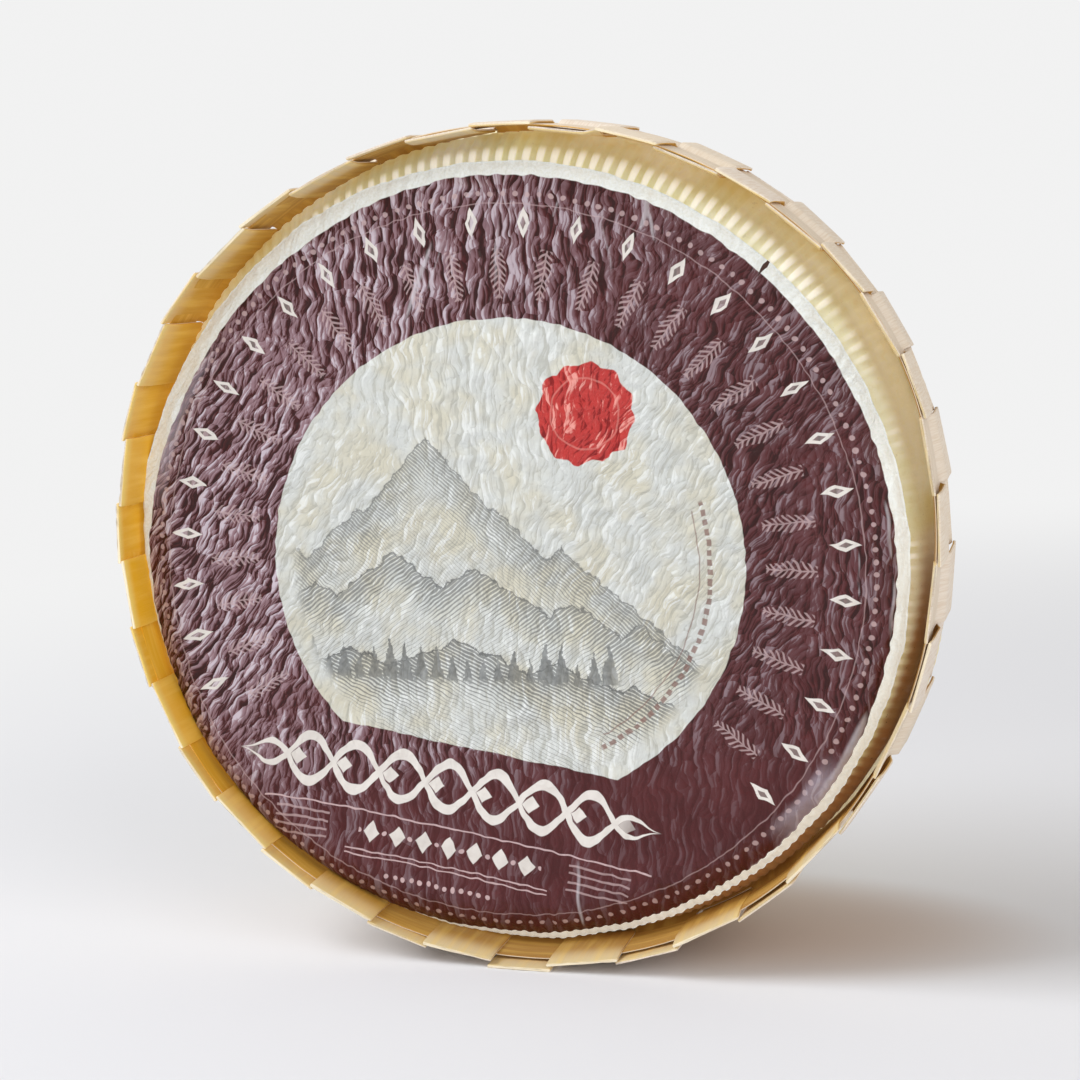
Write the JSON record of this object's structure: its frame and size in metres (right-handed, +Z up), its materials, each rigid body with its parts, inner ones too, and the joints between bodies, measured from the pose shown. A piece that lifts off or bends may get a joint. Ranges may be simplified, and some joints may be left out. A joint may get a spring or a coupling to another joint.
{
  "type": "whole cheese wheel",
  "caption": "Round whole cheese standing on its rim, with ribbed sides, a crinkled round paper label on its face and a woven belt of thin wooden slats round its side.",
  "frame": {"origin": "middle of the footprint, on the surface the wheel stands on", "axes": "-Y out of the labelled face along the wheel's axis, +Z up, +X to the right seen from the front"},
  "size_m": [0.3174, 0.0952, 0.3201],
  "materials": {
    "rind": "pale straw yellow cheese rind, fine ribs, slightly waxy, a few brown specks",
    "label_paper": "crinkled thin label paper, plum brown ring round a cream middle, satin print",
    "slat_wood": "thin split softwood, unfinished, pale honey inside, fuzzy sawn ends",
    "band_wood": "thin bare wood strip, pale pinkish beige, matt"
  },
  "bodies": {
    "root": {"cheese": "rind", "label": "label_paper", "slat_01": "slat_wood", "slat_02": "slat_wood", "slat_03": "slat_wood", "slat_04": "slat_wood", "slat_05": "slat_wood", "slat_06": "slat_wood", "slat_07": "slat_wood", "slat_08": "slat_wood", "slat_09": "slat_wood", "slat_10": "slat_wood", "slat_11": "slat_wood", "slat_12": "slat_wood", "slat_13": "slat_wood", "slat_14": "slat_wood", "slat_15": "slat_wood", "slat_16": "slat_wood", "slat_17": "slat_wood", "slat_18": "slat_wood", "slat_19": "slat_wood", "slat_20": "slat_wood", "slat_21": "slat_wood", "slat_22": "slat_wood", "slat_23": "slat_wood", "slat_24": "slat_wood", "slat_25": "slat_wood", "slat_26": "slat_wood", "slat_27": "slat_wood", "slat_28": "slat_wood", "slat_29": "slat_wood", "slat_30": "slat_wood", "slat_31": "slat_wood", "slat_32": "slat_wood", "slat_33": "slat_wood", "slat_34": "slat_wood", "slat_35": "slat_wood", "slat_36": "slat_wood", "slat_37": "slat_wood", "slat_38": "slat_wood", "slat_39": "slat_wood", "slat_40": "slat_wood", "band_front": "band_wood", "band_rear": "band_wood"}
  },
  "joints": []
}
